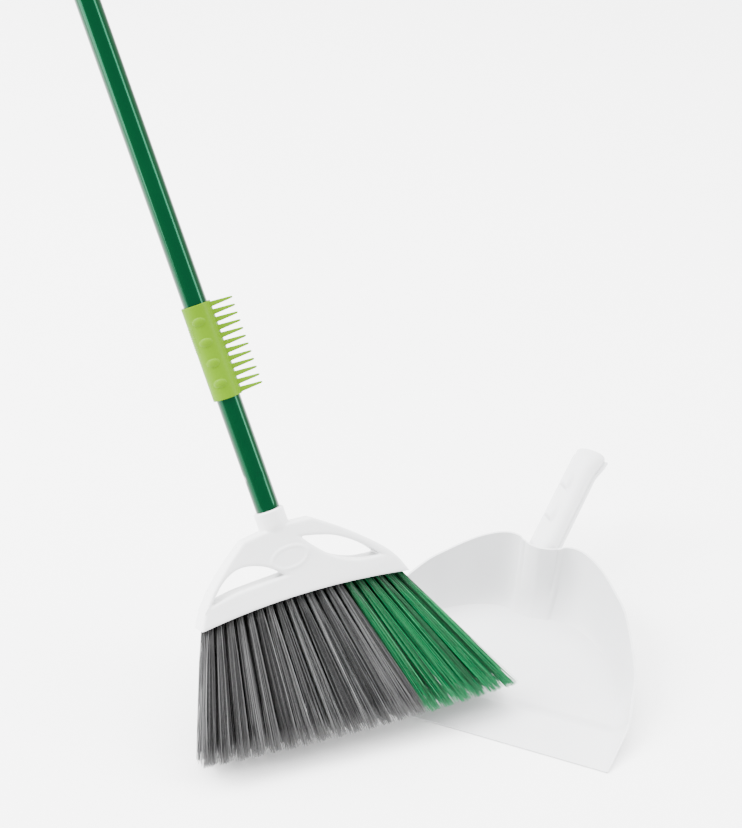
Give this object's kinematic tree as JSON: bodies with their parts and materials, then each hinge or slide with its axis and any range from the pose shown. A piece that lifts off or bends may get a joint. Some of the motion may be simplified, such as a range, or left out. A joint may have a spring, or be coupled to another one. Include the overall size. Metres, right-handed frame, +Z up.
{
  "type": "broom and dust pan set",
  "caption": "Angle broom with two-tone bristles and a clip-on comb on its long handle, standing in front of a wide dust pan with a ribbed grip.",
  "frame": {"origin": "on the floor, under the flat base of the dust pan, midway across it and 120 mm behind its lip", "axes": "+X along the pan's lip to the right, +Y from the lip towards the pan's handle, +Z up"},
  "size_m": [0.9655, 0.569, 1.2311],
  "materials": {
    "grey_bristle": "fine flagged filaments",
    "green_bristle": "fine flagged filaments",
    "white_plastic": "satin moulded",
    "white_plastic_inner": "moulded",
    "pan_plastic": "satin moulded",
    "green_enamel": "gloss powder coat",
    "green_plastic": "moulded",
    "lime_plastic": "satin moulded",
    "wire": "drawn wire"
  },
  "bodies": {
    "broom_head": {"grey_tufts_01": "grey_bristle", "grey_tufts_02": "grey_bristle", "grey_tufts_03": "grey_bristle", "grey_tufts_04": "grey_bristle", "grey_tufts_05": "grey_bristle", "grey_tufts_06": "grey_bristle", "grey_tufts_07": "grey_bristle", "grey_tufts_08": "grey_bristle", "grey_tufts_09": "grey_bristle", "grey_tufts_10": "grey_bristle", "grey_tufts_11": "grey_bristle", "grey_tufts_12": "grey_bristle", "grey_tufts_13": "grey_bristle", "grey_tufts_14": "grey_bristle", "green_tufts_01": "green_bristle", "green_tufts_02": "green_bristle", "green_tufts_03": "green_bristle", "green_tufts_04": "green_bristle", "green_tufts_05": "green_bristle", "green_tufts_06": "green_bristle", "tuft_staples": "wire", "broom_hood": "white_plastic", "bristle_block": "white_plastic"},
    "handle": {"handle_tube": "green_enamel", "threaded_ferrule": "white_plastic_inner", "hanging_cap": "green_plastic"},
    "comb": {"comb": "lime_plastic"},
    "dust_pan": {"dust_pan": "pan_plastic"}
  },
  "joints": [
    {"name": "handle_screw", "type": "hinge", "parent": "broom_head", "child": "handle", "pos_m": [-0.2258, -0.1101, 0.22108], "axis": [-0.4728, 0.2865, 0.8333], "range_deg": [0, 1620]},
    {"name": "comb_slide", "type": "slide", "parent": "handle", "child": "comb", "axis": [-0.4728, 0.2865, 0.8333], "range_m": [-0.12, 0.9]},
    {"name": "pan_slide", "type": "slide", "parent": "broom_head", "child": "dust_pan", "axis": [0, 1, 0], "range_m": [0, 0.35]}
  ]
}
